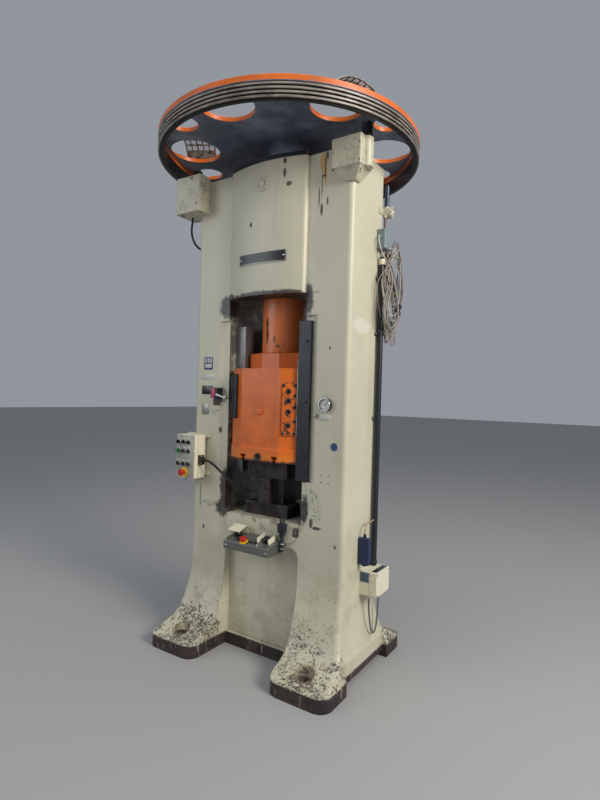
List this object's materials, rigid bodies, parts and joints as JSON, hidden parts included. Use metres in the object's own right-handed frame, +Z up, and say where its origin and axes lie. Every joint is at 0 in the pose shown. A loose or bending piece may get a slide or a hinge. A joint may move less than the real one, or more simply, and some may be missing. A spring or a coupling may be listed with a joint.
{
  "type": "screw press",
  "caption": "Tall screw press: cast frame on flared feet, flywheel on a multi-start spindle, guided orange ram over a die set, with console, control box and side fittings.",
  "frame": {"origin": "on the floor, under the spindle's axis, midway between the feet", "axes": "+Z up along the spindle; -Y towards the operator and the front; +X to the operator's right"},
  "size_m": [1.62, 1.62, 3.289],
  "materials": {
    "frame_paint": "satin",
    "machine_orange": "satin",
    "dark_steel": "satin",
    "bright_steel": "gloss",
    "worn_steel": "satin",
    "bronze": "satin",
    "grey_paint": "satin",
    "cream_paint": "satin",
    "black_plastic": "satin",
    "red_plastic": "gloss",
    "blue_paint": "satin",
    "cable_rubber": "matte",
    "hose_blue": "satin",
    "wire_grey": "matte"
  },
  "bodies": {
    "frame": {"frame_casting": "frame_paint", "head_plate": "dark_steel", "spindle_bush": "bronze", "thrust_ring": "bronze", "support_bearing": "dark_steel", "guide_rails": "bright_steel", "keeper_plate": "blue_paint", "keeper_screws": "dark_steel", "wear_strip": "bright_steel", "bolster": "worn_steel", "bolster_clamps": "worn_steel", "lower_die": "worn_steel", "brake_housing_left": "grey_paint", "brake_housing_right": "grey_paint", "console_body": "grey_paint", "console_bracket": "grey_paint", "console_guards": "cream_paint", "console_buttons": "black_plastic", "control_box": "cream_paint", "box_bars": "frame_paint", "box_buttons": "black_plastic", "cable_connector": "black_plastic", "gauge_case": "dark_steel", "limit_switch": "grey_paint", "bed_valve": "grey_paint", "lubricator": "blue_paint", "junction_box": "cream_paint", "conduit_tube": "blue_paint", "conduit_clamps": "dark_steel", "terminal_box": "grey_paint", "air_valve": "cream_paint", "box_cable": "cable_rubber", "brake_hose": "cable_rubber", "junction_cable": "hose_blue", "wire_loops": "wire_grey"},
    "spindle": {"spindle": "bright_steel", "flywheel": "machine_orange", "rim_rings": "worn_steel", "flywheel_key": "bright_steel", "flywheel_nut": "dark_steel", "mesh_hoods": "worn_steel"},
    "ram": {"ram_body": "machine_orange", "shank_clamp_screw": "bright_steel", "ram_plug": "machine_orange", "ram_collar": "machine_orange", "ram_sleeve": "machine_orange", "spindle_nut": "bronze", "ram_cover": "machine_orange", "port_plugs": "dark_steel", "switch_cam": "dark_steel", "upper_die": "worn_steel", "die_plate": "bright_steel"},
    "brake_left": {"brake_plunger_left": "dark_steel"},
    "brake_right": {"brake_plunger_right": "dark_steel"},
    "palm_left": {"palm_button_left": "black_plastic"},
    "palm_right": {"palm_button_right": "black_plastic"},
    "console_stop": {"console_stop_button": "red_plastic"},
    "box_stop": {"box_stop_button": "red_plastic"},
    "needle": {"gauge_needle": "bright_steel"},
    "lever": {"switch_lever": "bright_steel"}
  },
  "joints": [
    {"name": "spindle_turn", "type": "hinge", "parent": "frame", "child": "spindle", "pos_m": [0, 0, 3.1], "axis": [0, 0, 1], "range_deg": [-900, 0]},
    {"name": "ram_slide", "type": "slide", "parent": "frame", "child": "ram", "axis": [0, 0, 1], "range_m": [0, 0.3001]},
    {"name": "brake_slide_left", "type": "slide", "parent": "frame", "child": "brake_left", "axis": [0, 0, 1], "range_m": [0, 0.054]},
    {"name": "brake_slide_right", "type": "slide", "parent": "frame", "child": "brake_right", "axis": [0, 0, 1], "range_m": [0, 0.054]},
    {"name": "palm_press_left", "type": "slide", "parent": "frame", "child": "palm_left", "axis": [0, 0.246, -0.9693], "range_m": [0, 0.006], "stiffness_N_per_m": 500, "springref_m": -0.002},
    {"name": "palm_press_right", "type": "slide", "parent": "frame", "child": "palm_right", "axis": [0, 0.246, -0.9693], "range_m": [0, 0.006], "stiffness_N_per_m": 500, "springref_m": -0.002},
    {"name": "console_stop_press", "type": "slide", "parent": "frame", "child": "console_stop", "axis": [0, 0.246, -0.9693], "range_m": [0, 0.006]},
    {"name": "box_stop_press", "type": "slide", "parent": "frame", "child": "box_stop", "axis": [0, 1, 0], "range_m": [0, 0.006]},
    {"name": "needle_turn", "type": "hinge", "parent": "frame", "child": "needle", "pos_m": [0.439, -0.217, 1.55], "axis": [0, 1, 0], "range_deg": [-90, 180], "stiffness_Nm_per_rad": 0.0005},
    {"name": "lever_swing", "type": "hinge", "parent": "frame", "child": "lever", "pos_m": [-0.342, -0.248, 1.59], "axis": [0, 1, 0], "range_deg": [-20, 20], "stiffness_Nm_per_rad": 1}
  ],
  "couplings": [
    {"joint": "ram_slide", "follows": "spindle_turn", "m_per_rad": -0.019099}
  ]
}
